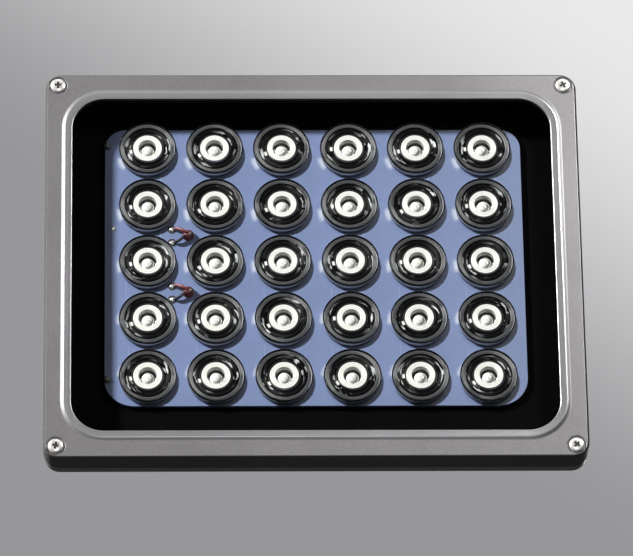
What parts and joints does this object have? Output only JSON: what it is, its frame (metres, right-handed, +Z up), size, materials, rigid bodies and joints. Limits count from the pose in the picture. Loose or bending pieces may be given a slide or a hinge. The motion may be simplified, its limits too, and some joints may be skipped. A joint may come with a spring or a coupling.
{
  "type": "infrared illuminator",
  "caption": "Wall-mounted infrared flood lamp with a grid of collimator lenses behind glass, a finned cast housing and a tilting U bracket.",
  "frame": {"origin": "centre of the bracket's wall face, on the axis of its middle hole", "axes": "+X to the right as seen by someone facing the lamp, +Y from the lamp into the wall, +Z up; the lamp shines towards -Y"},
  "size_m": [0.2258, 0.129, 0.178],
  "materials": {
    "bezel_paint": "fine textured satin paint",
    "housing_paint": "textured satin paint on a casting",
    "bracket_paint": "satin paint on bent steel",
    "nickel_plate": "bright nickel plate",
    "clear_glass": "polished",
    "black_silicone": "matte",
    "black_plate": "black satin",
    "blue_solder_mask": "satin solder mask",
    "black_steel": "black oxide",
    "emitter_ceramic": "satin",
    "holder_black": "gloss",
    "lens_acrylic": "polished clear",
    "red_insulation": "satin",
    "black_insulation": "satin",
    "green_board": "satin solder mask",
    "ferrite": "matte",
    "capacitor_can": "satin sleeve",
    "terminal_plastic": "moulded",
    "zinc_steel": "bright zinc",
    "gland_nylon": "moulded"
  },
  "bodies": {
    "bracket": {"mounting_bracket": "bracket_paint"},
    "head": {"bezel": "bezel_paint", "bezel_screws": "nickel_plate", "front_glass": "clear_glass", "glass_gasket": "black_silicone", "rim_gasket": "black_silicone", "rear_housing": "housing_paint", "backing_plate": "black_plate", "led_board": "blue_solder_mask", "board_screws": "black_steel", "led_emitters": "emitter_ceramic", "lens_holders": "holder_black", "lens_r1_c1": "lens_acrylic", "lens_r1_c2": "lens_acrylic", "lens_r1_c3": "lens_acrylic", "lens_r1_c4": "lens_acrylic", "lens_r1_c5": "lens_acrylic", "lens_r1_c6": "lens_acrylic", "lens_r2_c1": "lens_acrylic", "lens_r2_c2": "lens_acrylic", "lens_r2_c3": "lens_acrylic", "lens_r2_c4": "lens_acrylic", "lens_r2_c5": "lens_acrylic", "lens_r2_c6": "lens_acrylic", "lens_r3_c1": "lens_acrylic", "lens_r3_c2": "lens_acrylic", "lens_r3_c3": "lens_acrylic", "lens_r3_c4": "lens_acrylic", "lens_r3_c5": "lens_acrylic", "lens_r3_c6": "lens_acrylic", "lens_r4_c1": "lens_acrylic", "lens_r4_c2": "lens_acrylic", "lens_r4_c3": "lens_acrylic", "lens_r4_c4": "lens_acrylic", "lens_r4_c5": "lens_acrylic", "lens_r4_c6": "lens_acrylic", "lens_r5_c1": "lens_acrylic", "lens_r5_c2": "lens_acrylic", "lens_r5_c3": "lens_acrylic", "lens_r5_c4": "lens_acrylic", "lens_r5_c5": "lens_acrylic", "lens_r5_c6": "lens_acrylic", "lead_red_upper": "red_insulation", "lead_red_lower": "red_insulation", "lead_black_upper": "black_insulation", "lead_black_lower": "black_insulation", "driver_board": "green_board", "driver_transformer": "ferrite", "driver_capacitors": "capacitor_can", "driver_terminals": "terminal_plastic", "driver_screws": "zinc_steel", "driver_cover": "housing_paint", "cover_gasket": "black_silicone", "cover_screws": "zinc_steel", "gland_body": "gland_nylon", "gland_seal": "black_silicone", "gland_nut": "gland_nylon", "pivot_bolts": "zinc_steel", "flat_washers": "zinc_steel", "spring_washers": "zinc_steel"}
  },
  "joints": [
    {"name": "head_tilt", "type": "hinge", "parent": "bracket", "child": "head", "pos_m": [0, -0.098, 0], "axis": [1, 0, 0], "range_deg": [-90, 90]}
  ]
}
